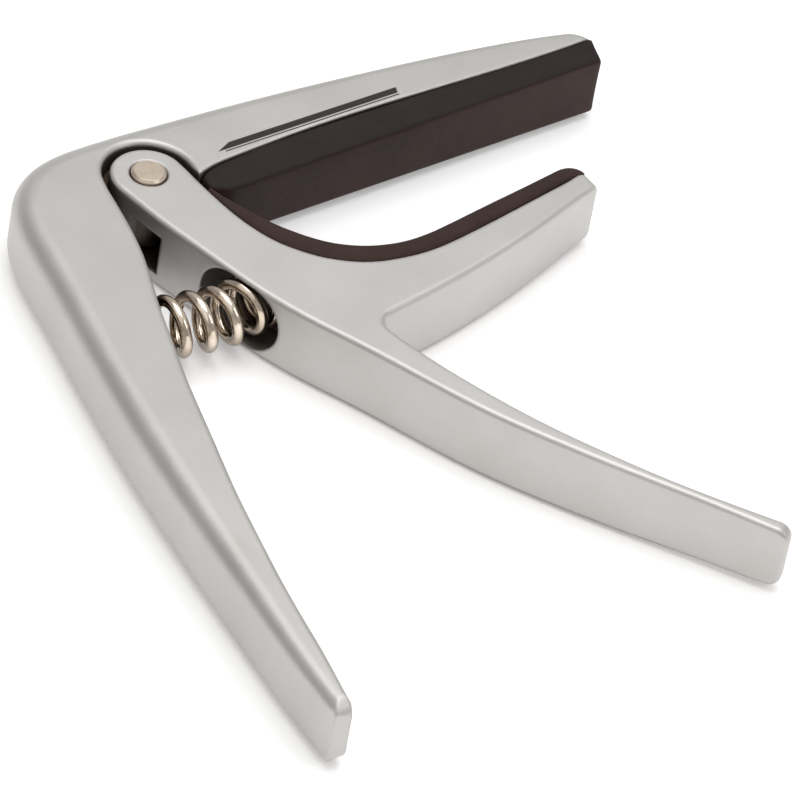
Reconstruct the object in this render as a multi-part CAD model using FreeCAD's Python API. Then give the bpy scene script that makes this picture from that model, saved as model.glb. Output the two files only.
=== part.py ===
# Spring-clamp guitar capo, lying on its side face.
# Design frame: origin on the pivot axis, jaw along +X, fixed handle along -Y,
# +Z up along the pivot axis, Z = 0 on the lower side face. Millimetres.
# Everything is shifted at the very end so that the file origin sits at the
# bottom centre of the whole part.
import math
import os

import FreeCAD
import Part

V = FreeCAD.Vector

# ---------------------------------------------------------------- dimensions
T_FRAME = 11.0          # thickness of the frame casting
T_LEVER = 10.6          # thickness of the lever casting
Z_LEVER = 0.2           # lever sits 0.2 below flush on both sides
R_EAR = 5.1             # lever ears round the pivot
R_RECESS = 6.1          # recess in the frame that clears the ears
R_TONGUE = 5.0          # frame tongue between the ears
SLOT_Z0 = 2.1           # slot between the ears
SLOT_Z1 = 8.0
R_SLOT = 9.85           # slot depth, measured from the pivot
SLOT_GAP = 0.3          # side clearance of the tongue in the slot
D_PIN = 4.7             # pivot pin
PIN_Z0 = 0.15
PIN_Z1 = 11.25
PIN_CHAMFER = 0.35
EAR_BORE_CLEAR = 0.05   # radial running clearance of the pin in the ears
EAR_MOUTH = 0.3         # countersink at the bore mouths
ROUND_BACK = 3.2        # soft round along the back of the fixed handle
ROUND_TIP = 1.8         # the same round at the end of the fixed handle
ROUND_JAW = 1.2         # round along the top of the jaw at its tip
ROUND_INNER = 0.7       # round along the inner edge of the fixed handle
ROUND_LEVER = 0.6       # round along the trigger handle
ROUND_TOP = 0.7         # round along its upper edge and the saddle arm
ROUND_THROAT = 2.2      # inside corner between saddle arm and handle
ROUND_END = 1.8         # ends of the lever's arms, seen from the side
ROUND_HEEL = 2.4        # end of the fixed handle, seen from the side
THIN_FRAME = 0.6        # side faces close in by this much at the end of each arm
THIN_TRIGGER = 0.65
THIN_SADDLE = 0.75
SPRING_WIRE = 1.6
SPRING_OD = 8.6
SPRING_TURNS = 7.25
SPRING_PHASE = -98.0    # where the wire starts round the axis, degrees
SPRING_CLOSED = 1.0     # closed turns at each end
POCKET_D = 9.6
POCKET_Z = 5.5          # height of the spring axis
POCKET_LONG = 1.9       # the lever's pocket is oblong by this much either way
SEAT_A = (-18.0, -20.7)     # middle of the pocket floor in the frame
ANGLE_A = -10.0             # direction of the frame's pocket, degrees
SEAT_B = (5.2, -21.9)       # middle of the pocket floor in the lever
ANGLE_B = 10.0              # direction of the lever's pocket, degrees
STRAIGHT = 5.0              # length over which the spring stays straight in each pocket
PAD_BASE_W = 10.6       # string pad, width against the jaw
PAD_FACE_W = 8.2        # string pad, width of the flat contact face
PAD_RIB_X = 10.0        # rib under the pad: start, length, width, height
PAD_RIB_L = 44.0
PAD_RIB_W = 4.0
PAD_RIB_H = 1.2
SADDLE_W = 10.2         # width of the saddle pad
BOND = 0.02             # bond line between the saddle pad and the arm
SHIFT = (-18.49, 42.246, 0.0)  # pivot frame -> file frame

# ------------------------------------------------------------------ outlines
# Outer line of the frame: back of the fixed handle, corner, top of the jaw
BACK = [(-33.92, -94), (-33.7, -87.59), (-33.03, -79), (-32.12, -70.31), (-31.08, -60.39), (-29.83, -49.94),
        (-28.4, -39.96), (-26.68, -30.45), (-25.02, -21.95), (-23.22, -13.45), (-21.77, -5.95)]
CORNER = [(-20.45, -0.52), (-18.45, 3.78), (-15.29, 7.15), (-10.81, 9.2)]
JAW_TOP = [(-5.01, 9.8), (2.01, 9.65), (8.02, 9.3), (16.02, 8.75), (24.02, 8.05), (32.02, 7.2),
        (40.02, 6.25), (48.01, 5.21), (56.01, 4.01), (63, 2.77), (68.3, 1.55)]
# Inner edge of the fixed handle, recess to tip
INNER = [(-5.75, 2.2), (-6.6, -1.1), (-7.2, -4.4), (-8.0, -8.2), (-9.2, -12.8), (-11.1, -18.0),
        (-13.05, -23.0), (-15.2, -29.3), (-17.1, -34.8), (-19.29, -42.09), (-21.37, -49.27),
        (-23.44, -56.43), (-25.19, -63.58), (-26.83, -70.61), (-28.26, -77.73),
        (-29.5, -84.73), (-30.75, -90.74), (-31.5, -94.3)]
# Underside of the jaw, tip to recess
JAW_UNDER = [(70.9, -1.2), (20.0, -1.3), (13.0, -1.75), (8.6, -2.2), (6.0, -3.0)]
# Lever: saddle edge from ear to tip
SADDLE = [(5.1, 0.0), (5.3, -4.0), (5.6, -8.4), (6.1, -12.3), (6.95, -15.8), (8.15, -18.8),
        (9.7, -21.22), (11.4, -23.28), (13.2, -24.85), (15.3, -26.25), (17.8, -27.32), (20.6, -27.98),
        (23.5, -28.33), (26.62, -28.33), (29.94, -27.96), (33.57, -27.38), (40.87, -26.01),
        (48.52, -24.46), (54.16, -23.31)]
# underside of the saddle arm, tip to throat
UNDER = [(54.16, -26.48), (50.16, -27.7), (45.66, -29.21), (41.28, -30.65), (37.32, -31.85),
        (33.37, -32.9), (29.54, -33.85), (25.81, -34.65), (22.3, -35.3), (18.8, -35.88),
        (14.6, -36.5), (11.1, -37.05)]
# trigger handle: upper edge from the throat, lower edge back to the ears
TRIG_TOP = [(11.1, -37.05), (11.5, -39.3), (12.0, -41.7), (12.6, -44.1), (13.3, -46.6),
        (14.15, -49.3), (16.2, -55.05), (18.43, -60.57), (20.97, -65.93), (23.62, -70.87), (26.38, -75.7),
        (29.25, -80.31), (32.24, -84.72), (35.23, -88.91), (37.41, -91.92)]
TRIG_LOW = [(35.51, -93.22), (33.64, -90.3), (31.67, -87.18), (28.99, -82.98), (24.57, -76.3),
        (20.39, -69.7), (17.04, -64.05), (14.21, -58.88), (11.75, -53.6), (9.8, -48.9),
        (8.05, -44.6), (6.0, -39.8), (3.8, -35.0), (1.75, -30.0), (-0.15, -24.0), (-2.2, -15.4),
        (-3.75, -8.6)]


def spline(pts):
    c = Part.BSplineCurve()
    c.interpolate([V(x, y, 0) for x, y in pts])
    return c.toShape()


def spline_t(pts, t0=None, t1=None):
    c = Part.BSplineCurve()
    kw = {}
    if t0:
        kw["InitialTangent"] = V(t0[0], t0[1], 0)
    if t1:
        kw["FinalTangent"] = V(t1[0], t1[1], 0)
    if t0 and not t1:
        kw["FinalTangent"] = V(pts[-1][0] - pts[-2][0], pts[-1][1] - pts[-2][1], 0)
    if t1 and not t0:
        kw["InitialTangent"] = V(pts[1][0] - pts[0][0], pts[1][1] - pts[0][1], 0)
    c.interpolate(Points=[V(x, y, 0) for x, y in pts], **kw)
    return c


def line(a, b):
    return Part.makeLine(V(a[0], a[1], 0), V(b[0], b[1], 0))


def arc(a, m, b):
    return Part.Arc(V(a[0], a[1], 0), V(m[0], m[1], 0), V(b[0], b[1], 0)).toShape()


def tangent_arc(a, t, b):
    """Arc from a to b that starts in the direction t."""
    dx, dy = b[0] - a[0], b[1] - a[1]
    d = math.hypot(dx, dy)
    # half the turn is the angle between the start direction and the chord
    half = math.atan2(t[0] * dy - t[1] * dx, t[0] * dx + t[1] * dy)
    sag = d / 2 * math.tan(half / 2)
    m = ((a[0] + b[0]) / 2 + dy / d * sag, (a[1] + b[1]) / 2 - dx / d * sag)
    return arc(a, m, b)


def on(r, deg):
    return (r * math.cos(math.radians(deg)), r * math.sin(math.radians(deg)))


def face(edges):
    w = Part.Wire(Part.__sortEdges__(edges))
    return Part.Face(w)


def prism(edges, z0, h):
    f = face(edges)
    f.translate(V(0, 0, z0))
    return f.extrude(V(0, 0, h))


def disc(r, z0, z1, x=0.0, y=0.0):
    return Part.makeCylinder(r, z1 - z0, V(x, y, z0))


def rounded(shape, specs):
    doc = FreeCAD.newDocument("r")
    base = doc.addObject("Part::Feature", "b")
    base.Shape = shape
    fil = doc.addObject("Part::Fillet", "f")
    fil.Base = base
    table = []
    for i, e in enumerate(base.Shape.Edges):
        for (r1, r2, test) in specs:
            if test(e):
                table.append((i + 1, r1, r2))
                break
    fil.Edges = table
    doc.recompute()
    s = fil.Shape.copy()
    FreeCAD.closeDocument("r")
    if s.isNull() or not s.isValid():
        raise RuntimeError("fillet failed")
    return s


def near(x0, x1, y0, y1):
    """True for edges lying along a side face whose middle is in the window."""
    def test(e):
        bb = e.BoundBox
        m = e.valueAt((e.FirstParameter + e.LastParameter) / 2)
        if bb.ZMax - bb.ZMin > 1.0 or abs(m.z - T_FRAME / 2) < 3.0:
            return False
        return x0 <= m.x <= x1 and y0 <= m.y <= y1
    return test


def split_spline(groups):
    """One smooth curve through all groups, cut into one edge per group."""
    pts = [p for g in groups for p in g]
    c = Part.BSplineCurve()
    c.interpolate([V(x, y, 0) for x, y in pts])
    u = [c.FirstParameter]
    n = 0
    for g in groups[:-1]:
        n += len(g)
        u.append(c.parameter(V(pts[n - 1][0], pts[n - 1][1], 0)))
    u.append(c.LastParameter)
    return [c.toShape(u[i], u[i + 1]) for i in range(len(groups))]


# ------------------------------------------------------------ spring geometry
def heading(deg):
    return (math.cos(math.radians(deg)), math.sin(math.radians(deg)))


DIR_A, DIR_B = heading(ANGLE_A), heading(ANGLE_B)


def pocket(seat, direction, length, side=0.0):
    """A round bore that starts on a pocket floor and runs along direction."""
    n = (-direction[1], direction[0])
    p = V(seat[0] + n[0] * side, seat[1] + n[1] * side, POCKET_Z)
    return Part.makeCylinder(POCKET_D / 2, length, p, V(direction[0], direction[1], 0))


def spring_axis():
    """Middle line of the spring: straight in both pockets, bowed between them."""
    a = (SEAT_A[0] + DIR_A[0] * STRAIGHT, SEAT_A[1] + DIR_A[1] * STRAIGHT)
    b = (SEAT_B[0] - DIR_B[0] * STRAIGHT, SEAT_B[1] - DIR_B[1] * STRAIGHT)
    w = math.hypot(b[0] - a[0], b[1] - a[1])
    pts = []
    for i in range(11):
        t = STRAIGHT * i / 10
        pts.append((SEAT_A[0] + DIR_A[0] * t, SEAT_A[1] + DIR_A[1] * t))
    for i in range(1, 30):
        t = i / 30
        h0, h1 = 2 * t ** 3 - 3 * t * t + 1, t ** 3 - 2 * t * t + t
        h2, h3 = -2 * t ** 3 + 3 * t * t, t ** 3 - t * t
        pts.append((h0 * a[0] + h1 * w * DIR_A[0] + h2 * b[0] + h3 * w * DIR_B[0],
                    h0 * a[1] + h1 * w * DIR_A[1] + h2 * b[1] + h3 * w * DIR_B[1]))
    for i in range(11):
        t = STRAIGHT * (10 - i) / 10
        pts.append((SEAT_B[0] - DIR_B[0] * t, SEAT_B[1] - DIR_B[1] * t))
    return pts


def thin_end(s, u, d0, d1, h, z0, z1, half, off=(0.0, 0.0)):
    """Shave both side faces along a large arc, starting tangent at d0."""
    rad = ((d1 - d0) ** 2 + h * h) / (2 * h)
    n = (-u[1], u[0])
    length = d1 + 10.0 - d0
    for zf, sg in ((z1, 1.0), (z0, -1.0)):
        a, e = [], []
        # profile in the (along, z) plane: arc on one side, flat box beyond it
        zz = lambda t: zf - sg * (rad - math.sqrt(rad * rad - t * t))
        p0 = (d0, zf)
        pm = (d0 + length / 2, zz(length / 2))
        p1 = (d0 + length, zz(length))
        q1 = (d0 + length, zf + sg * 3)
        q0 = (d0, zf + sg * 3)

        def w(p, side):
            return V(off[0] + u[0] * p[0] + n[0] * half * side,
                     off[1] + u[1] * p[0] + n[1] * half * side, p[1])
        edges = [Part.Arc(w(p0, -1), w(pm, -1), w(p1, -1)).toShape(),
                 Part.makeLine(w(p1, -1), w(q1, -1)), Part.makeLine(w(q1, -1), w(q0, -1)),
                 Part.makeLine(w(q0, -1), w(p0, -1))]
        f = Part.Face(Part.Wire(edges))
        s = s.cut(f.extrude(V(n[0] * 2 * half, n[1] * 2 * half, 0)))
    return s


# --------------------------------------------------------------------- frame
def make_frame():
    tip = JAW_TOP[-1]
    edges = split_spline([BACK, CORNER, JAW_TOP])
    t = edges[-1].tangentAt(edges[-1].LastParameter)
    edges += [
        tangent_arc(tip, (t.x, t.y), JAW_UNDER[0]),
        spline(JAW_UNDER),
        line(JAW_UNDER[-1], (6.05, -0.8)),
        arc((6.05, -0.8), on(R_RECESS, 75), INNER[0]),
        spline(INNER),
        line(INNER[-1], BACK[0]),
    ]
    s = prism(edges, 0, T_FRAME)
    s = thin_end(s, (0.0, -1.0), 35.0, 95.0, THIN_FRAME, 0.0, T_FRAME, 60.0)
    s = rounded(s, [
        (ROUND_TIP, ROUND_BACK, near(-35, -28, -75, -55)),
        (ROUND_BACK, ROUND_BACK, near(-28, -22, -30, -10)),
        (ROUND_BACK, ROUND_BACK, near(-22, -12, -2, 8)),
        (ROUND_BACK, ROUND_JAW, near(20, 40, 5, 9)),
        (ROUND_JAW, ROUND_JAW, near(69.0, 70.9, -0.3, 1.5)),
    ])
    s = rounded(s, [
        (ROUND_INNER, ROUND_INNER, near(-28, -20, -75, -55)),
        (ROUND_INNER, ROUND_INNER, near(-16, -8, -30, -10)),
    ])
    # round off the end of the handle, seen from the side
    y, z = -94.3 + ROUND_HEEL, 0.55 + ROUND_HEEL
    for zc, z0 in ((z, -3.0), (T_FRAME - z, T_FRAME - z)):
        block = Part.makeBox(8.0, 4.0, z + 3.0, V(-37.0, y - 4.0, z0))
        s = s.cut(block.cut(Part.makeCylinder(ROUND_HEEL, 8.0, V(-37.0, y, zc), V(1, 0, 0))))
    return s


def finish_frame(s):
    # tongue between the lever's ears
    tz0, tz1 = SLOT_Z0 + SLOT_GAP, SLOT_Z1 - SLOT_GAP
    tongue = disc(R_TONGUE, tz0, tz1)
    ring = disc(R_RECESS + 0.6, tz0, tz1)
    keep = Part.makeBox(16.0, 8.0, T_FRAME, V(-8.0, 0.6, 0))
    s = s.fuse(tongue).fuse(ring.common(keep)).removeSplitter()
    # pivot bore: the pin is pressed in here
    s = s.cut(disc(D_PIN / 2, -1, T_FRAME + 1))
    # spring pocket
    s = s.cut(pocket(SEAT_A, DIR_A, 14.0))
    # groove for the rib of the string pad
    s = s.cut(Part.makeBox(PAD_RIB_L, 2.1 + PAD_RIB_H, PAD_RIB_W, V(PAD_RIB_X, -3.3, (T_FRAME - PAD_RIB_W) / 2)))
    return s


# --------------------------------------------------------------------- lever
def tangent_angle(p, r):
    """Angle on the circle round the pivot where the line from p touches it."""
    d = math.hypot(*p)
    return math.degrees(math.atan2(p[1], p[0]) % (2 * math.pi)) - math.degrees(math.acos(r / d))


def vertical(x, y, tol=0.3):
    def test(e):
        bb = e.BoundBox
        return bb.ZMax - bb.ZMin > 5 and abs(bb.XMin - x) < tol and abs(bb.YMin - y) < tol
    return test


def make_lever():
    ta = tangent_angle(TRIG_LOW[-1], R_EAR)
    te = on(R_EAR, ta)
    tdir = (math.sin(math.radians(ta)), -math.cos(math.radians(ta)))
    low = spline_t(TRIG_LOW + [te], t1=tdir).toShape()
    saddle = spline_t(SADDLE, t0=(0.1, -1)).toShape()
    edges = [
        saddle,
        line(SADDLE[-1], UNDER[0]),
        spline(UNDER),
        spline(TRIG_TOP),
        line(TRIG_TOP[-1], TRIG_LOW[0]),
        low,
        arc(te, on(R_EAR, 95), (R_EAR, 0.0)),
    ]
    s = prism(edges, Z_LEVER, T_LEVER)
    zt = Z_LEVER + T_LEVER
    s = thin_end(s, (0.515, -0.857), 50.0, 98.0, THIN_TRIGGER, Z_LEVER, zt, 25.0)
    s = thin_end(s, (1.0, 0.0), 20.0, 54.0, THIN_SADDLE, Z_LEVER, zt, 12.0, (0.0, -30.0))
    s = rounded(s, [(ROUND_THROAT, ROUND_THROAT, vertical(*UNDER[-1]))])
    # ends of the two arms, rounded in side view
    s = rounded(s, [
        (ROUND_END, ROUND_END, near(35.5, 37.5, -93.6, -91.8)),
        (ROUND_END * 0.7, ROUND_END * 0.7, near(53.9, 54.5, -26.5, -24.0)),
    ])
    s = rounded(s, [(ROUND_TOP, ROUND_TOP, near(22, 26, -74, -68))])
    s = rounded(s, [(ROUND_LEVER, ROUND_LEVER, near(-6, 12, -40, -15))])
    return s


def cone(r0, r1, z0, z1):
    return Part.makeCone(r0, r1, z1 - z0, V(0, 0, z0))


def finish_lever(s):
    s = s.cut(disc(R_SLOT, SLOT_Z0, SLOT_Z1))
    r = D_PIN / 2 + EAR_BORE_CLEAR
    s = s.cut(disc(r, -1, T_FRAME + 1))
    zt = Z_LEVER + T_LEVER
    m = EAR_MOUTH
    s = s.cut(cone(r, r + m + 0.1, zt - m, zt + 0.1))
    s = s.cut(cone(r + m + 0.1, r, Z_LEVER - 0.1, Z_LEVER + m))
    # oblong spring pocket: the spring swings in it as the lever turns
    back = (-DIR_B[0], -DIR_B[1])
    for side in (-POCKET_LONG, POCKET_LONG):
        s = s.cut(pocket(SEAT_B, back, 14.0, side))
    mid = Part.makeBox(14.0, 2 * POCKET_LONG, POCKET_D, V(0, -POCKET_LONG, -POCKET_D / 2))
    mid.Placement = FreeCAD.Placement(V(SEAT_B[0], SEAT_B[1], POCKET_Z), FreeCAD.Rotation(V(0, 0, 1), ANGLE_B + 180))
    return s.cut(mid)


# ---------------------------------------------------------------------- pads
PAD_END = (6.5, -5.2)       # the contact face starts clear of the saddle pad
PAD_IN = (9.2, -6.3)
PAD_OUT = (70.2, -4.95)


def make_string_pad():
    # the top follows the underside of the jaw exactly
    c = Part.BSplineCurve()
    c.interpolate([V(x, y, 0) for x, y in JAW_UNDER])
    u = c.parameter(V(6.5, -2.95, 0))
    p = c.value(u)
    edges = [c.toShape(c.FirstParameter, u), line((p.x, p.y), PAD_END), line(PAD_END, PAD_IN),
             line(PAD_IN, PAD_OUT), line(PAD_OUT, JAW_UNDER[0])]
    z0 = (T_FRAME - PAD_BASE_W) / 2
    s = prism(edges, z0, PAD_BASE_W)
    # side bevels: from full width at the jaw to the contact face width
    d = (PAD_BASE_W - PAD_FACE_W) / 2
    for side in (0, 1):
        zb = z0 if side == 0 else z0 + PAD_BASE_W
        sg = 1.0 if side == 0 else -1.0
        poly = [V(4, -1.3, zb), V(4, -9.0, zb + sg * d * (9.0 - 1.3) / 4.9), V(4, -9.0, zb - sg * 2), V(4, -1.3, zb - sg * 2)]
        w = Part.makePolygon(poly + [poly[0]])
        wedge = Part.Face(w).extrude(V(72, 0, 0))
        s = s.cut(wedge)
    # rib that sits in the groove of the jaw
    rib = Part.makeBox(PAD_RIB_L - 0.4, 2.0 + PAD_RIB_H, PAD_RIB_W - 0.1,
                       V(PAD_RIB_X + 0.2, -3.3, (T_FRAME - PAD_RIB_W + 0.1) / 2))
    return s.fuse(rib).removeSplitter()


def make_saddle_pad():
    outer = [(6.25, -6.05), (6.8, -7.9), (7.45, -9.6), (8.2, -11.6), (9.9, -15.35),
             (12.1, -18.78), (14.2, -21.2), (16.3, -22.82), (18.6, -24.05), (21.2, -24.9),
             (24.0, -25.35), (27.2, -25.3), (30.7, -24.85), (38.0, -23.67), (45.3, -22.5), (51.0, -21.5)]
    c = spline_t(SADDLE, t0=(0.1, -1))
    p0 = c.value(c.parameter(V(5.35, -6.0, 0)))
    inner = c.toShape(c.parameter(p0), c.LastParameter)
    z0 = (T_FRAME - SADDLE_W) / 2
    edges = [inner, arc((p0.x, p0.y), (5.82, -5.66), outer[0]), spline(outer),
             arc(outer[-1], (53.1, -21.95), SADDLE[-1])]
    s = prism(edges, z0, SADDLE_W)
    s.translate(V(BOND, BOND, 0))
    return s


# ---------------------------------------------------------------- small parts
def make_pin():
    s = disc(D_PIN / 2, PIN_Z0, PIN_Z1)
    es = [e for e in s.Edges if e.BoundBox.ZMax - e.BoundBox.ZMin < 0.01]
    return s.makeChamfer(PIN_CHAMFER, es)


def make_spring():
    """Round wire wound about the bowed axis, with closed turns at both ends."""
    axis = spring_axis()
    run = [0.0]
    for (x0, y0), (x1, y1) in zip(axis, axis[1:]):
        run.append(run[-1] + math.hypot(x1 - x0, y1 - y0))

    def middle(d):
        i = 0
        while i < len(run) - 2 and run[i + 1] < d:
            i += 1
        f = (d - run[i]) / (run[i + 1] - run[i])
        (x0, y0), (x1, y1) = axis[i], axis[i + 1]
        h = math.hypot(x1 - x0, y1 - y0)
        return (x0 + (x1 - x0) * f, y0 + (y1 - y0) * f, (x1 - x0) / h, (y1 - y0) / h)

    r = (SPRING_OD - SPRING_WIRE) / 2
    first = 0.3 + SPRING_WIRE / 2
    last = run[-1] - first
    closed = SPRING_WIRE * 1.06
    middle_turns = SPRING_TURNS - 2 * SPRING_CLOSED
    pitch = (last - first - 2 * closed * SPRING_CLOSED) / middle_turns

    def place(turn):
        """Distance along the axis, the change of pitch spread over half a turn."""
        steps = 40
        d = 0.0
        for k in range(steps):
            t = turn * (k + 0.5) / steps
            e = min(t, SPRING_TURNS - t)
            w = min(1.0, max(0.0, (e - SPRING_CLOSED + 0.25) / 0.5))
            w = w * w * (3 - 2 * w)
            d += (closed + (pitch - closed) * w) * turn / steps
        return d

    total = place(SPRING_TURNS)
    pts = []
    n = int(SPRING_TURNS * 12)
    for i in range(n + 1):
        turn = SPRING_TURNS * i / n
        d = first + place(turn) * (last - first) / total
        x, y, ux, uy = middle(d)
        a = math.radians(SPRING_PHASE) - 2 * math.pi * turn
        side, up = r * math.cos(a), r * math.sin(a)
        pts.append(V(x + uy * side, y - ux * side, POCKET_Z + up))
    c = Part.BSplineCurve()
    c.interpolate(pts)
    path = Part.Wire([c.toShape()])
    t = c.tangent(c.FirstParameter)[0]
    prof = Part.Wire([Part.makeCircle(SPRING_WIRE / 2, pts[0], t)])
    s = path.makePipeShell([prof], True, False)
    return s


def build():
    parts = {
        "frame": finish_frame(make_frame()),
        "lever": finish_lever(make_lever()),
        "string_pad": make_string_pad(),
        "saddle_pad": make_saddle_pad(),
        "pivot_pin": make_pin(),
        "spring": make_spring(),
    }
    return parts


if __name__ == "__main__":
    os.makedirs("parts", exist_ok=True)
    for name, s in build().items():
        s = s.copy()
        s.translate(V(*SHIFT))
        if len(s.Solids) != 1 or not s.isValid():
            print("PROBLEM", name, len(s.Solids), s.isValid())
        print(name, round(s.Volume, 1), len(s.Faces), s.BoundBox)
        s.exportStep("parts/" + name + ".step")
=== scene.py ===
# Look of the guitar capo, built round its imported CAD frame.
import math

import bpy
import bmesh
from mathutils import Matrix, Vector


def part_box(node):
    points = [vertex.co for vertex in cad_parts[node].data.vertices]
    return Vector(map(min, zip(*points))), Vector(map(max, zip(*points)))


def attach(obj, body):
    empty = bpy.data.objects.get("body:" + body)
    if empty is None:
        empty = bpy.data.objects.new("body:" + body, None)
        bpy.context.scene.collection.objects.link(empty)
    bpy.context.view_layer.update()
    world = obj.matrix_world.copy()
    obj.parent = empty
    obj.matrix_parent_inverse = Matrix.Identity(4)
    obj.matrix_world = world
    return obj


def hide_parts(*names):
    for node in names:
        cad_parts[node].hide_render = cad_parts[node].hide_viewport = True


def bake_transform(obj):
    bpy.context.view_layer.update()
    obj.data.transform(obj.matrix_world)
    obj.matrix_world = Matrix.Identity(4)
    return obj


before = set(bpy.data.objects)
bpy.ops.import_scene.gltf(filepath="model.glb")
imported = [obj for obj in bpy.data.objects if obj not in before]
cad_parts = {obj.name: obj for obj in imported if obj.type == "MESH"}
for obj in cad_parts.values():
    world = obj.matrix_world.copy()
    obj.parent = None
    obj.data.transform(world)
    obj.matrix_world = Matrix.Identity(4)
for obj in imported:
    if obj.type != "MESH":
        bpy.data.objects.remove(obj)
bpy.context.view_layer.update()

# --------------------------------------------------------------- where it is
PIN_LO, PIN_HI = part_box("pivot_pin")
PX = (PIN_LO.x + PIN_HI.x) / 2
PY = (PIN_LO.y + PIN_HI.y) / 2
T = 0.011                      # thickness of the castings
MM = 0.001


def at(x, y, z=0.0):
    """A point given in millimetres from the pivot axis, in the row frame."""
    return Vector((PX + x * MM, PY + y * MM, z * MM))


# ------------------------------------------------------------ node helpers
def new_material(name):
    m = bpy.data.materials.new(name)
    m.use_nodes = True
    nt = m.node_tree
    nt.nodes.clear()
    out = nt.nodes.new("ShaderNodeOutputMaterial")
    bsdf = nt.nodes.new("ShaderNodeBsdfPrincipled")
    nt.links.new(bsdf.outputs[0], out.inputs[0])
    return m, nt, bsdf


def coords(nt, scale=(1, 1, 1), rot=(0, 0, 0)):
    tc = nt.nodes.new("ShaderNodeTexCoord")
    mp = nt.nodes.new("ShaderNodeMapping")
    mp.inputs["Scale"].default_value = scale
    mp.inputs["Rotation"].default_value = rot
    nt.links.new(tc.outputs["Object"], mp.inputs["Vector"])
    return mp.outputs[0]


def noise(nt, vec, scale, detail=2.0, rough=0.5, dist=0.0):
    n = nt.nodes.new("ShaderNodeTexNoise")
    n.inputs["Scale"].default_value = scale
    n.inputs["Detail"].default_value = detail
    n.inputs["Roughness"].default_value = rough
    n.inputs["Distortion"].default_value = dist
    nt.links.new(vec, n.inputs["Vector"])
    return n.outputs["Fac"]


def ramp(nt, fac, stops):
    r = nt.nodes.new("ShaderNodeValToRGB")
    while len(r.color_ramp.elements) < len(stops):
        r.color_ramp.elements.new(0.5)
    for e, (p, c) in zip(r.color_ramp.elements, stops):
        e.position = p
        e.color = tuple(c) + (1.0,) if len(c) == 3 else tuple(c)
    nt.links.new(fac, r.inputs["Fac"])
    return r.outputs["Color"]


def remap(nt, fac, lo, hi, a=0.0, b=1.0):
    m = nt.nodes.new("ShaderNodeMapRange")
    m.inputs["From Min"].default_value = a
    m.inputs["From Max"].default_value = b
    m.inputs["To Min"].default_value = lo
    m.inputs["To Max"].default_value = hi
    nt.links.new(fac, m.inputs["Value"])
    return m.outputs["Result"]


def math_node(nt, op, a, b):
    m = nt.nodes.new("ShaderNodeMath")
    m.operation = op
    for i, v in enumerate((a, b)):
        if isinstance(v, (int, float)):
            m.inputs[i].default_value = v
        else:
            nt.links.new(v, m.inputs[i])
    return m.outputs[0]


def mix_color(nt, fac, a, b, mode="MIX"):
    m = nt.nodes.new("ShaderNodeMix")
    m.data_type = "RGBA"
    m.blend_type = mode
    if isinstance(fac, (int, float)):
        m.inputs[0].default_value = fac
    else:
        nt.links.new(fac, m.inputs[0])
    for i, v in ((6, a), (7, b)):
        if isinstance(v, tuple):
            m.inputs[i].default_value = tuple(v) + (1.0,) if len(v) == 3 else v
        else:
            nt.links.new(v, m.inputs[i])
    return m.outputs[2]


def bump(nt, height, strength, distance, normal=None):
    b = nt.nodes.new("ShaderNodeBump")
    b.inputs["Strength"].default_value = strength
    b.inputs["Distance"].default_value = distance
    nt.links.new(height, b.inputs["Height"])
    if normal is not None:
        nt.links.new(normal, b.inputs["Normal"])
    return b.outputs["Normal"]


def crevice_shade(nt, distance, lo=0.35, hi=0.95):
    """Ambient-occlusion mask for painted shade: 1 in narrow gaps and pockets, 0 on open surfaces."""
    a = nt.nodes.new("ShaderNodeAmbientOcclusion")
    a.samples = 8
    a.only_local = False
    a.inputs["Distance"].default_value = distance
    return remap(nt, a.outputs["AO"], 1.0, 0.0, lo, hi)


def soft_edges(nt, radius):
    b = nt.nodes.new("ShaderNodeBevel")
    b.samples = 6
    b.inputs["Radius"].default_value = radius
    return b.outputs["Normal"]


# --------------------------------------------------------------- materials
def smooth_between(nt, value, lo, hi, soft):
    """1 where value lies between lo and hi, fading over soft at both ends."""
    up = remap(nt, math_node(nt, "SUBTRACT", value, lo), 0.0, 1.0, -soft / 2, soft / 2)
    down = remap(nt, math_node(nt, "SUBTRACT", hi, value), 0.0, 1.0, -soft / 2, soft / 2)
    return math_node(nt, "MULTIPLY", up, down)


def from_pivot(nt):
    """Separate x, y, z of the surface point in millimetres from the pivot axis."""
    tc = nt.nodes.new("ShaderNodeTexCoord")
    sub = nt.nodes.new("ShaderNodeVectorMath")
    sub.operation = "SUBTRACT"
    sub.inputs[1].default_value = (PX, PY, 0.0)
    nt.links.new(tc.outputs["Object"], sub.inputs[0])
    big = nt.nodes.new("ShaderNodeVectorMath")
    big.operation = "SCALE"
    big.inputs["Scale"].default_value = 1000.0
    nt.links.new(sub.outputs[0], big.inputs[0])
    sep = nt.nodes.new("ShaderNodeSeparateXYZ")
    nt.links.new(big.outputs[0], sep.inputs[0])
    return sep.outputs[0], sep.outputs[1], sep.outputs[2]


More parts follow.
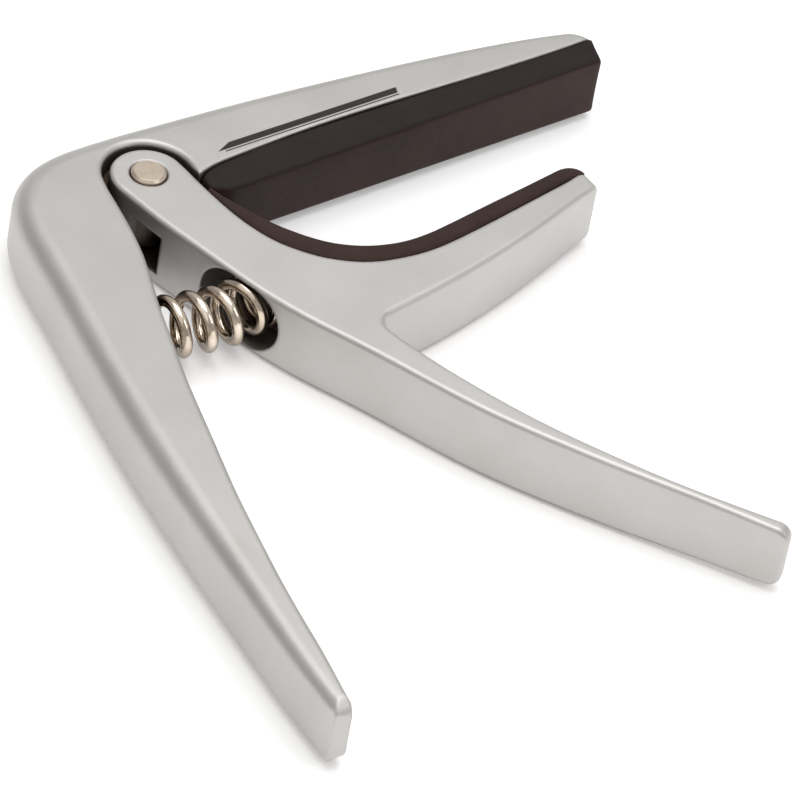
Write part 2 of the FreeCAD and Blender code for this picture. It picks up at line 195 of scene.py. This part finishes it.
def printed_bars(nt):
    """Two plain printed bars along the jaw's upper side face."""
    x, y, z = from_pivot(nt)
    lift = math_node(nt, "MULTIPLY", math_node(nt, "SUBTRACT", x, 11.0), 0.011)
    v = math_node(nt, "SUBTRACT", y, lift)
    lean = math_node(nt, "SUBTRACT", x, math_node(nt, "MULTIPLY", math_node(nt, "MAXIMUM", y, 0.0), 0.4))
    nose = math_node(nt, "SUBTRACT", x, math_node(nt, "MULTIPLY", y, 2.2))
    broad = math_node(nt, "MULTIPLY", smooth_between(nt, v, -0.34, 0.76, 0.10),
                      smooth_between(nt, nose, 11.3, 60.0, 0.2))
    thin = math_node(nt, "MULTIPLY", smooth_between(nt, v, -0.76, -0.54, 0.10),
                     smooth_between(nt, x, 11.6, 60.0, 0.2))
    both = math_node(nt, "MAXIMUM", broad, thin)
    both = math_node(nt, "MULTIPLY", both, smooth_between(nt, lean, 0.0, 39.6, 0.2))
    return math_node(nt, "MULTIPLY", both, remap(nt, z, 0.0, 1.0, 10.80, 10.90))


def cast_metal(name, seed, tint=(1.0, 1.0, 1.0), pivot_shade=None, bars=False):
    """Satin plated casting: fine pearl grain, faint mottling, edges brightened by wear, painted shade in the gaps and
    round the pivot.
    """
    m, nt, bsdf = new_material(name)
    vec = coords(nt, (1, 1, 1), (0.3 * seed, 0.2, 0.5 * seed))
    cloud = noise(nt, vec, 90.0, 3.0, 0.55)
    grain = noise(nt, vec, 5200.0, 2.0, 0.6)
    speck = noise(nt, vec, 1500.0, 3.0, 0.65)
    base = ramp(nt, cloud, [(0.3, (0.570 * tint[0], 0.555 * tint[1], 0.534 * tint[2])),
                            (0.7, (0.615 * tint[0], 0.602 * tint[1], 0.583 * tint[2]))])
    fine = ramp(nt, grain, [(0.35, (0.93, 0.93, 0.93)), (0.65, (1.0, 1.0, 1.0))])
    col = mix_color(nt, 0.6, base, fine, "MULTIPLY")
    geo = nt.nodes.new("ShaderNodeNewGeometry")
    wear = remap(nt, geo.outputs["Pointiness"], 0.0, 0.6, 0.52, 0.60)
    col = mix_color(nt, math_node(nt, "MULTIPLY", wear, 0.25), col, (0.80, 0.79, 0.78))
    # painted shade: an ambient-occlusion mask darkens the narrow gaps and the pockets
    col = mix_color(nt, crevice_shade(nt, 0.0022, 0.10, 0.75), col, (0.115, 0.080, 0.065))
    if pivot_shade:
        # painted shade round the pivot, below the top faces and inside the slot, weaker in one patch beside the pivot
        x, y, z = from_pivot(nt)
        d2 = math_node(nt, "ADD", math_node(nt, "MULTIPLY", x, x), math_node(nt, "MULTIPLY", y, y))
        ring = smooth_between(nt, math_node(nt, "SQRT", d2, 0.0), -1.0, pivot_shade[0], 0.3)
        low = smooth_between(nt, z, pivot_shade[1], pivot_shade[2], 0.15)
        shade_lifted = math_node(nt, "MULTIPLY", smooth_between(nt, x, -9.0, -3.8, 0.8), smooth_between(nt, y, -4.5, 2.0, 1.0))
        pivot_shade_mask = math_node(nt, "MULTIPLY", math_node(nt, "MULTIPLY", ring, low), remap(nt, shade_lifted, 0.90, 0.35))
        col = mix_color(nt, pivot_shade_mask, col, (0.085, 0.055, 0.043))
    r = math_node(nt, "ADD", remap(nt, cloud, 0.45, 0.50), remap(nt, speck, -0.03, 0.04))
    if bars:
        ink = printed_bars(nt)
        shade = ramp(nt, grain, [(0.3, (0.030, 0.024, 0.022)), (0.7, (0.045, 0.037, 0.034))])
        col = mix_color(nt, ink, col, shade)
        nt.links.new(remap(nt, ink, 1.0, 0.0), bsdf.inputs["Metallic"])
        nt.links.new(remap(nt, ink, 0.50, 0.12), bsdf.inputs["Specular IOR Level"])
        r = math_node(nt, "ADD", r, math_node(nt, "MULTIPLY", ink, 0.10))
    else:
        bsdf.inputs["Metallic"].default_value = 1.0
    nt.links.new(col, bsdf.inputs["Base Color"])
    nt.links.new(r, bsdf.inputs["Roughness"])
    n = soft_edges(nt, 0.0006)
    n = bump(nt, speck, 0.10, 0.00003, n)
    n = bump(nt, grain, 0.22, 0.000012, n)
    nt.links.new(n, bsdf.inputs["Normal"])
    return m


def rubber(name, seed, painted_wall_tint, painted_flat_tint):
    """Dark moulded rubber: matte skin, fine pores, and painted shade by facing direction: side faces and faces looking
    up or down are tinted apart.
    """
    m, nt, bsdf = new_material(name)
    vec = coords(nt, (1, 1, 1), (0.1, 0.3 * seed, 0.2))
    cloud = noise(nt, vec, 140.0, 4.0, 0.6)
    pores = noise(nt, vec, 3800.0, 3.0, 0.6)
    skin = noise(nt, vec, 900.0, 3.0, 0.55)
    col = ramp(nt, cloud, [(0.3, (0.0225, 0.0110, 0.0095)), (0.72, (0.0330, 0.0170, 0.0145))])
    dust = ramp(nt, pores, [(0.45, (0.85, 0.85, 0.85)), (0.8, (1.25, 1.22, 1.2))])
    col = mix_color(nt, 0.8, col, dust, "MULTIPLY")
    geo = nt.nodes.new("ShaderNodeNewGeometry")
    sep = nt.nodes.new("ShaderNodeSeparateXYZ")
    nt.links.new(geo.outputs["Normal"], sep.inputs[0])
    # painted shade by facing direction: faces looking up or down take one tint, side faces the other
    flat = remap(nt, math_node(nt, "ABSOLUTE", sep.outputs[2], 0.0), 0.0, 1.0, 0.35, 0.75)
    col = mix_color(nt, 1.0, col, ramp(nt, flat, [(0.0, painted_wall_tint), (1.0, painted_flat_tint)]), "MULTIPLY")
    nt.links.new(col, bsdf.inputs["Base Color"])
    nt.links.new(remap(nt, skin, 0.50, 0.68), bsdf.inputs["Roughness"])
    bsdf.inputs["Specular IOR Level"].default_value = 0.22
    bsdf.inputs["Sheen Weight"].default_value = 0.05
    bsdf.inputs["Sheen Roughness"].default_value = 0.5
    n = bump(nt, skin, 0.25, 0.00004)
    n = bump(nt, pores, 0.35, 0.00002, n)
    nt.links.new(n, bsdf.inputs["Normal"])
    return m


def spring_wire(name):
    """Bright nickel wire: lengthways drawing marks, warm tone, dull patches."""
    m, nt, bsdf = new_material(name)
    vec = coords(nt)
    cloud = noise(nt, vec, 420.0, 3.0, 0.6)
    fine = noise(nt, vec, 3600.0, 3.0, 0.6)
    col = ramp(nt, cloud, [(0.3, (0.62, 0.51, 0.40)), (0.7, (0.88, 0.78, 0.66))])
    # painted shade: darker in the gaps between turns and inside the pockets
    col = mix_color(nt, crevice_shade(nt, 0.0030, 0.0, 0.80), col, (0.10, 0.065, 0.045))
    # painted shade: darker where the wire turns away from the eye, standing in for dark reflections
    edge = nt.nodes.new("ShaderNodeLayerWeight")
    edge.inputs["Blend"].default_value = 0.45
    col = mix_color(nt, remap(nt, edge.outputs["Facing"], 0.0, 0.85, 0.25, 0.80), col, (0.11, 0.068, 0.045))
    # painted shade on the side that faces the lever's overhang, standing in for the overhang's dark reflection
    geo = nt.nodes.new("ShaderNodeNewGeometry")
    sep = nt.nodes.new("ShaderNodeSeparateXYZ")
    nt.links.new(geo.outputs["Normal"], sep.inputs[0])
    col = mix_color(nt, remap(nt, sep.outputs[1], 0.0, 0.70, -0.10, 0.65), col, (0.13, 0.080, 0.053))
    nt.links.new(col, bsdf.inputs["Base Color"])
    bsdf.inputs["Metallic"].default_value = 1.0
    nt.links.new(math_node(nt, "ADD", remap(nt, cloud, 0.07, 0.13), remap(nt, fine, 0.0, 0.05)),
                 bsdf.inputs["Roughness"])
    nt.links.new(bump(nt, fine, 0.16, 0.00002), bsdf.inputs["Normal"])
    return m


def pin_steel(name):
    """Turned steel pin: circular tool marks on its head, warm tone."""
    m, nt, bsdf = new_material(name)
    tc = nt.nodes.new("ShaderNodeTexCoord")
    sub = nt.nodes.new("ShaderNodeVectorMath")
    sub.operation = "SUBTRACT"
    sub.inputs[1].default_value = (PX, PY, 0.0)
    nt.links.new(tc.outputs["Object"], sub.inputs[0])
    sep = nt.nodes.new("ShaderNodeSeparateXYZ")
    nt.links.new(sub.outputs[0], sep.inputs[0])
    x2 = math_node(nt, "MULTIPLY", sep.outputs[0], sep.outputs[0])
    y2 = math_node(nt, "MULTIPLY", sep.outputs[1], sep.outputs[1])
    r = math_node(nt, "SQRT", math_node(nt, "ADD", x2, y2), 0.0)
    comb = nt.nodes.new("ShaderNodeCombineXYZ")
    nt.links.new(math_node(nt, "MULTIPLY", r, 1.0), comb.inputs[0])
    nt.links.new(math_node(nt, "MULTIPLY", sep.outputs[2], 0.2), comb.inputs[1])
    rings = noise(nt, comb.outputs[0], 9000.0, 3.0, 0.7)
    cloud = noise(nt, sub.outputs[0], 600.0, 3.0, 0.6)
    col = ramp(nt, cloud, [(0.3, (0.54, 0.45, 0.365)), (0.7, (0.65, 0.56, 0.46))])
    nt.links.new(col, bsdf.inputs["Base Color"])
    bsdf.inputs["Metallic"].default_value = 1.0
    nt.links.new(remap(nt, rings, 0.30, 0.44), bsdf.inputs["Roughness"])
    n = soft_edges(nt, 0.00012)
    nt.links.new(bump(nt, rings, 0.25, 0.00002, n), bsdf.inputs["Normal"])
    return m


# the last argument paints shade round the pivot: radius, then lowest and highest height in mm
METAL = cast_metal("cast_metal", 1, (0.90, 0.90, 0.905), pivot_shade=(6.4, -1.0, 8.1), bars=True)
METAL_LEVER = cast_metal("lever_metal", 2, (0.955, 0.955, 0.96), pivot_shade=(10.0, 2.0, 8.1))
PIN = pin_steel("pin_steel")
WIRE = spring_wire("spring_steel")
# last two colours: painted shade tints for side faces and for faces looking up or down
RUBBER_PAD = rubber("string_pad_rubber", 1, (1.12, 0.90, 0.84), (0.52, 0.48, 0.58))
RUBBER_SADDLE = rubber("saddle_pad_rubber", 2, (1.00, 0.84, 0.76), (1.04, 0.78, 0.62))


def dress(node, material):
    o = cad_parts[node]
    o.data.materials.clear()
    o.data.materials.append(material)


dress("frame", METAL)
dress("lever", METAL_LEVER)
dress("pivot_pin", PIN)


# ------------------------------------------------------------ finished pieces
def mesh_object(name, verts, faces, smooth=True):
    me = bpy.data.meshes.new(name)
    me.from_pydata([tuple(v) for v in verts], [], faces)
    me.validate()
    me.update()
    o = bpy.data.objects.new(name, me)
    bpy.context.scene.collection.objects.link(o)
    if smooth:
        for p in me.polygons:
            p.use_smooth = True
    return o


def catmull(pts, n):
    """Evenly spaced points on a smooth line through pts (2-D)."""
    out = []
    P = [Vector(p) for p in pts]
    P = [2 * P[0] - P[1]] + P + [2 * P[-1] - P[-2]]
    for i in range(1, len(P) - 2):
        for k in range(20):
            t = k / 20
            a, b, c, d = P[i - 1], P[i], P[i + 1], P[i + 2]
            out.append(0.5 * ((2 * b) + (-a + c) * t + (2 * a - 5 * b + 4 * c - d) * t * t
                              + (-a + 3 * b - 3 * c + d) * t ** 3))
    out.append(P[-2])
    L = [0.0]
    for i in range(1, len(out)):
        L.append(L[-1] + (out[i] - out[i - 1]).length)
    res = []
    j = 0
    for k in range(n):
        s = L[-1] * k / (n - 1)
        while j < len(L) - 2 and L[j + 1] < s:
            j += 1
        f = (s - L[j]) / max(1e-12, L[j + 1] - L[j])
        res.append(out[j].lerp(out[j + 1], min(1, max(0, f))))
    return res


def loft(name, sections):
    """Closed tube of quads through sections, capped at both ends."""
    n = len(sections[0])
    verts = [v for s in sections for v in s]
    faces = []
    for i in range(len(sections) - 1):
        for j in range(n):
            a, b = i * n + j, i * n + (j + 1) % n
            faces.append((a, b, b + n, a + n))
    faces.append(tuple(range(n))[::-1])
    faces.append(tuple((len(sections) - 1) * n + j for j in range(n)))
    return mesh_object(name, verts, faces)


def string_pad():
    """The pad under the jaw: wide at the jaw, narrower contact face, soft edges."""
    mid = T / 2 / MM
    top = catmull([(6.5, -2.97), (8.6, -2.24), (13.0, -1.78), (20.0, -1.34), (45.0, -1.25), (70.85, -1.22)], 80)
    half_base, half_face = 5.3, 4.1
    sections = []
    for p in top:
        x, yt = p.x, p.y - 0.02
        yb = -6.295 + (x - 9.2) * (1.35 / 61.0)
        if x < 9.2:
            yb = -5.2 - 1.1 * (x - 6.5) / 2.7
        f = yt - yb
        fe = 4.9
        hb = half_base - (half_base - half_face) * min(1.0, max(0.0, (-1.3 - yb) / fe))
        ht = half_base - (half_base - half_face) * min(1.0, max(0.0, (-1.3 - yt) / fe))
        # from the jaw down one side, round the edge and across the face
        prof = [(yt, 0.0), (yt, ht * 0.55), (yt, ht - 0.35), (yt - 0.10, ht - 0.08), (yt - 0.32, ht),
                (yt - 0.35 * f, ht + (hb - ht) * 0.35), (yt - 0.7 * f, ht + (hb - ht) * 0.7),
                (yb + 0.42, hb + 0.10), (yb + 0.14, hb - 0.02), (yb + 0.02, hb - 0.26),
                (yb, hb - 0.55), (yb, hb * 0.5), (yb, 0.0)]
        ring = [(y, w) for y, w in prof] + [(y, -w) for y, w in prof[1:-1]][::-1]
        sec = []
        for (y, w) in ring:
            # the outer end leans in a little towards the face
            xx = x
            if x > 69.4:
                xx = x - 0.65 * ((yt - y) / f) * (x - 69.4) / 1.45
            sec.append(at(xx, y, mid + w))
        sections.append(sec)

    # soft corners at both ends: extra rings that draw in
    def shrink(sec, along_x, amount):
        c = sum(sec, Vector()) / len(sec)
        out = []
        for v in sec:
            d = v - c
            d2 = Vector((0, d.y, d.z))
            k = max(0.0, 1 - amount * MM / max(1e-6, d2.length))
            out.append(Vector((v.x + along_x * MM, c.y + d.y * k, c.z + d.z * k)))
        return out
    first, last = sections[0], sections[-1]
    sections = ([shrink(first, -0.0, 0.5), shrink(first, 0.04, 0.25), shrink(first, 0.15, 0.06)]
                + sections[1:-1] +
                [shrink(last, -0.34, 0.0), shrink(last, -0.12, 0.06), shrink(last, -0.03, 0.22), shrink(last, 0.0, 0.5)])
    return loft("string_pad_rubber", sections)


def saddle_pad():
    """The strip on the saddle arm: constant thickness, rounded ends and edges."""
    inner = catmull([(5.42, -6.1), (5.52, -7.6), (5.75, -9.9), (6.1, -12.3), (6.95, -15.8), (8.15, -18.8),
                     (9.7, -21.22), (11.4, -23.28), (13.2, -24.85), (15.3, -26.25), (17.8, -27.32),
                     (20.6, -27.98), (23.5, -28.33), (26.62, -28.33), (29.94, -27.96),
                     (33.57, -27.38), (40.87, -26.01), (48.52, -24.46), (51.9, -23.78)], 110)
    outer = catmull([(6.25, -6.15), (6.8, -7.9), (7.45, -9.6), (8.2, -11.6), (9.9, -15.35),
                     (12.1, -18.78), (14.2, -21.2), (16.3, -22.82), (18.6, -24.05), (21.2, -24.9),
                     (24.0, -25.35), (27.2, -25.3), (30.7, -24.85), (38.0, -23.67), (45.3, -22.5),
                     (51.0, -21.5)], 110)
    mid = T / 2 / MM
    half = 5.1
    pairs = list(zip(inner, outer))
    # rounded tip: the outer line bends down on to the arm
    a0, b0 = pairs[-1]
    tip = []
    end = Vector((54.1, -23.34))
    for k in range(1, 13):
        t = k / 12
        ang = t * math.pi / 2 * 0.97
        b = Vector((b0.x + (end.x - b0.x) * math.sin(ang),
                    end.y + 0.08 + (b0.y + 0.16 * math.sin(2 * ang) - end.y - 0.08) * math.cos(ang)))
        a = Vector((a0.x + (end.x - a0.x) * t, a0.y + (end.y - a0.y) * t))
        tip.append((a, b))
    # rounded upper end, where the strip runs out under the other pad
    a1, b1 = pairs[0]
    head = []
    for k in range(5, 0, -1):
        t = k / 5
        ang = t * math.pi / 2 * 0.95
        m = (a1 + b1) / 2
        h = Vector((0.03, 0.34)) * math.sin(ang)
        head.append((a1 + (m - a1) * (1 - math.cos(ang)) + h, b1 + (m - b1) * (1 - math.cos(ang)) + h))
    sections = []
    full = half
    for a, b in head + pairs + tip:
        d = b - a
        L = max(1e-6, d.length)
        # a little narrower where the arm thins, and round across the very end
        half = full - 0.5 * max(0.0, (a.x - 20.0) / 34.0) ** 2
        past = min(0.97, max(0.0, (a.x - 51.0) / 3.2))
        half -= 0.8 * (1.0 - math.sqrt(1.0 - past * past))
        r = min(0.5, L * 0.45)
        n = d / L
        prof = [(0.0, 0.0), (0.0, half * 0.6), (0.0, half - 0.12), (0.05, half), (L * 0.35, half), (L - r, half)]
        for q in (22.5, 45.0, 67.5, 90.0):
            c = math.radians(q)
            prof.append((L - r + r * math.sin(c), half - r + r * math.cos(c)))
        prof += [(L, half * 0.55), (L, 0.0)]
        ring = prof + [(t, -w) for t, w in prof[1:-1]][::-1]
        sections.append([at(*(a + n * t), mid + w) for t, w in ring])
    return loft("saddle_pad_rubber", sections)


SEAT_A, ANGLE_A = (-18.0, -20.7), -10.0
SEAT_B, ANGLE_B = (5.2, -21.9), 10.0
COIL_Z = 5.5
STRAIGHT = 5.0
WIRE_D, COIL_D, TURNS, CLOSED, PHASE = 1.6, 8.6, 7.25, 1.0, -98.0


def coil_line():
    """Middle line of the spring: straight in both pockets, bowed between them."""
    da = Vector((math.cos(math.radians(ANGLE_A)), math.sin(math.radians(ANGLE_A))))
    db = Vector((math.cos(math.radians(ANGLE_B)), math.sin(math.radians(ANGLE_B))))
    sa, sb = Vector(SEAT_A), Vector(SEAT_B)
    a, b = sa + da * STRAIGHT, sb - db * STRAIGHT
    w = (b - a).length
    pts = [sa + da * (STRAIGHT * i / 20) for i in range(21)]
    for i in range(1, 60):
        t = i / 60
        pts.append((2 * t ** 3 - 3 * t * t + 1) * a + (t ** 3 - 2 * t * t + t) * w * da
                   + (-2 * t ** 3 + 3 * t * t) * b + (t ** 3 - t * t) * w * db)
    pts += [sb - db * (STRAIGHT * (20 - i) / 20) for i in range(21)]
    return pts


def spring():
    """Round wire wound about the bowed line, closed at both ends."""
    line = coil_line()
    run = [0.0]
    for p, q in zip(line, line[1:]):
        run.append(run[-1] + (q - p).length)

    def middle(d):
        i = 0
        while i < len(run) - 2 and run[i + 1] < d:
            i += 1
        f = (d - run[i]) / (run[i + 1] - run[i])
        u = (line[i + 1] - line[i]).normalized()
        return line[i].lerp(line[i + 1], f), u

    r = (COIL_D - WIRE_D) / 2
    first = 0.3 + WIRE_D / 2
    last = run[-1] - first
    closed = WIRE_D * 1.06
    pitch = (last - first - 2 * closed * CLOSED) / (TURNS - 2 * CLOSED)
    steps = int(TURNS * 64)
    d, dist = 0.0, [0.0]
    for i in range(steps):
        t = TURNS * (i + 0.5) / steps
        e = min(t, TURNS - t)
        w = min(1.0, max(0.0, (e - CLOSED + 0.25) / 0.5))
        w = w * w * (3 - 2 * w)
        d += (closed + (pitch - closed) * w) * TURNS / steps
        dist.append(d)
    centre, frames = [], []
    for i in range(steps + 1):
        turn = TURNS * i / steps
        m, u = middle(first + dist[i] * (last - first) / dist[-1])
        a = math.radians(PHASE) - 2 * math.pi * turn
        side = Vector((u.y, -u.x, 0))
        out = side * math.cos(a) + Vector((0, 0, 1)) * math.sin(a)
        centre.append(Vector((m.x, m.y, COIL_Z)) + out * r)
        frames.append(out)
    ring = 20
    n = len(centre)
    sections = []
    for i in range(n):
        d = (centre[min(i + 1, n - 1)] - centre[max(i - 1, 0)]).normalized()
        out = (frames[i] - d * frames[i].dot(d)).normalized()
        b = d.cross(out).normalized()
        sections.append([at(*(centre[i] + (out * math.cos(2 * math.pi * k / ring)
                                           + b * math.sin(2 * math.pi * k / ring)) * WIRE_D / 2))
                         for k in range(ring)])
    o = loft("spring_coil", sections)
    return o, at(*SEAT_A, COIL_Z), at(*SEAT_B, COIL_Z)


pad = string_pad()
pad.data.materials.append(RUBBER_PAD)
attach(pad, "frame_body")
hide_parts("string_pad")

strip = saddle_pad()
strip.data.materials.append(RUBBER_SADDLE)
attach(strip, "lever_body")
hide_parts("saddle_pad")

coil, coil_start, coil_end = spring()
coil.data.materials.append(WIRE)
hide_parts("spring")
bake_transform(coil)

# --------------------------------------------------------------------- stage
floor_me = bpy.data.meshes.new("floor")
bm = bmesh.new()
bmesh.ops.create_grid(bm, x_segments=2, y_segments=2, size=3.0)
bm.to_mesh(floor_me)
bm.free()
floor = bpy.data.objects.new("floor", floor_me)
floor.location = (0, 0, -0.00002)
bpy.context.scene.collection.objects.link(floor)
fm, fnt, fb = new_material("glowing_floor")
fvec = coords(fnt)
fcol = ramp(fnt, noise(fnt, fvec, 900.0, 3.0, 0.5), [(0.3, (0.86, 0.86, 0.86)), (0.7, (0.90, 0.90, 0.90))])
fnt.links.new(fcol, fb.inputs["Base Color"])
fb.inputs["Roughness"].default_value = 0.9
fb.inputs["Specular IOR Level"].default_value = 0.1
# painted light: the floor glows faintly, lifting the contact shadows along the lower edges
fb.inputs["Emission Color"].default_value = (1.0, 1.0, 1.0, 1.0)
fb.inputs["Emission Strength"].default_value = 0.27
floor_me.materials.append(fm)

# camera direction in plan, used to place the lights round the object
VIEW = math.radians(-131.5)
FWD = Vector((-math.cos(VIEW), -math.sin(VIEW), 0.0))     # away from the camera
RGT = Vector((FWD.y, -FWD.x, 0.0))                        # to the camera's right

world = bpy.data.worlds.new("studio")
bpy.context.scene.world = world
world.use_nodes = True
wt = world.node_tree
wt.nodes.clear()
wout = wt.nodes.new("ShaderNodeOutputWorld")
wbg = wt.nodes.new("ShaderNodeBackground")
wtc = wt.nodes.new("ShaderNodeTexCoord")


def world_dot(v):
    d = wt.nodes.new("ShaderNodeVectorMath")
    d.operation = "DOT_PRODUCT"
    wt.links.new(wtc.outputs["Generated"], d.inputs[0])
    d.inputs[1].default_value = v
    return d.outputs["Value"]


# pale backdrop behind, dimmer room in front, one dim corner at the far left
back = remap(wt, world_dot(tuple(FWD)), 0.0, 1.0, -0.6, 0.8)
wcol = ramp(wt, back, [(0.0, (0.50, 0.49, 0.48)), (0.5, (0.70, 0.70, 0.70)), (1.0, (0.98, 0.98, 0.97))])
corner = Vector((math.cos(math.radians(139)) * 0.9, math.sin(math.radians(139)) * 0.9, 0.43))
dim = remap(wt, world_dot(tuple(corner)), 0.0, 0.75, 0.70, 1.0)
wcol = mix_color(wt, dim, wcol, (0.36, 0.36, 0.365))
wt.links.new(wcol, wbg.inputs["Color"])
wbg.inputs["Strength"].default_value = 0.80
wt.links.new(wbg.outputs[0], wout.inputs[0])


def area(name, where, target, size, power, color=(1, 1, 1)):
    l = bpy.data.lights.new(name, "AREA")
    l.shape = "RECTANGLE"
    l.size, l.size_y = size
    l.energy = power
    l.color = color
    o = bpy.data.objects.new(name, l)
    o.location = where
    d = (Vector(target) - Vector(where)).normalized()
    o.rotation_mode = "QUATERNION"
    o.rotation_quaternion = d.to_track_quat("-Z", "Y")
    bpy.context.scene.collection.objects.link(o)
    return o


def around(azimuth, elevation, distance):
    a, e = math.radians(azimuth), math.radians(elevation)
    return Vector((math.cos(a) * math.cos(e), math.sin(a) * math.cos(e), math.sin(e))) * distance


area("key_left", around(-168, 52, 0.9), (0, 0, 0), (1.10, 1.10), 1.7, (1.0, 0.99, 0.98))
area("top", around(60, 82, 0.9), (0, 0, 0), (0.8, 0.8), 4.2, (1.0, 0.995, 0.99))
area("right", around(-60, 40, 1.0), (0, 0, 0), (0.4, 0.5), 1.2, (0.99, 0.995, 1.0))
bpy.context.scene.view_settings.view_transform = "Standard"

# -------------------------------------------------------------------- camera
ELEV = math.radians(40.5)
ROLL = math.radians(10.65)
TURN = math.radians(41.5)
F_PX, PX_PER_MM = 6600.0, 7.7
D = F_PX / PX_PER_MM
B0 = Vector((0, -math.cos(ELEV), math.sin(ELEV)))
U0 = Vector((0, math.sin(ELEV), math.cos(ELEV)))
X0 = Vector((1, 0, 0))
R1 = math.cos(ROLL) * X0 + math.sin(ROLL) * U0
U1 = -math.sin(ROLL) * X0 + math.cos(ROLL) * U0
xc = (149 - 400) / F_PX * D
yc = -(172 - 400) / F_PX * D
C = Vector((0, 0, 11.0)) - R1 * xc - U1 * yc + B0 * D
Rz = Matrix(((math.cos(TURN), math.sin(TURN), 0), (-math.sin(TURN), math.cos(TURN), 0), (0, 0, 1)))
cam_data = bpy.data.cameras.new("camera")
cam = bpy.data.objects.new("camera", cam_data)
bpy.context.scene.collection.objects.link(cam)
ax, ay, az = Rz @ R1, Rz @ U1, Rz @ B0
loc = Rz @ C
m = Matrix.Identity(4)
for i in range(3):
    m[i][0], m[i][1], m[i][2] = ax[i], ay[i], az[i]
m[0][3], m[1][3], m[2][3] = loc.x * MM + PX, loc.y * MM + PY, loc.z * MM
cam.matrix_world = m
cam_data.sensor_width = 36.0
cam_data.lens = 36.0 * F_PX / 800.0
cam_data.clip_start = 0.05
cam_data.clip_end = 20.0
bpy.context.scene.camera = cam

# ---------------------------------------------------------------------- final update
bpy.context.view_layer.update()
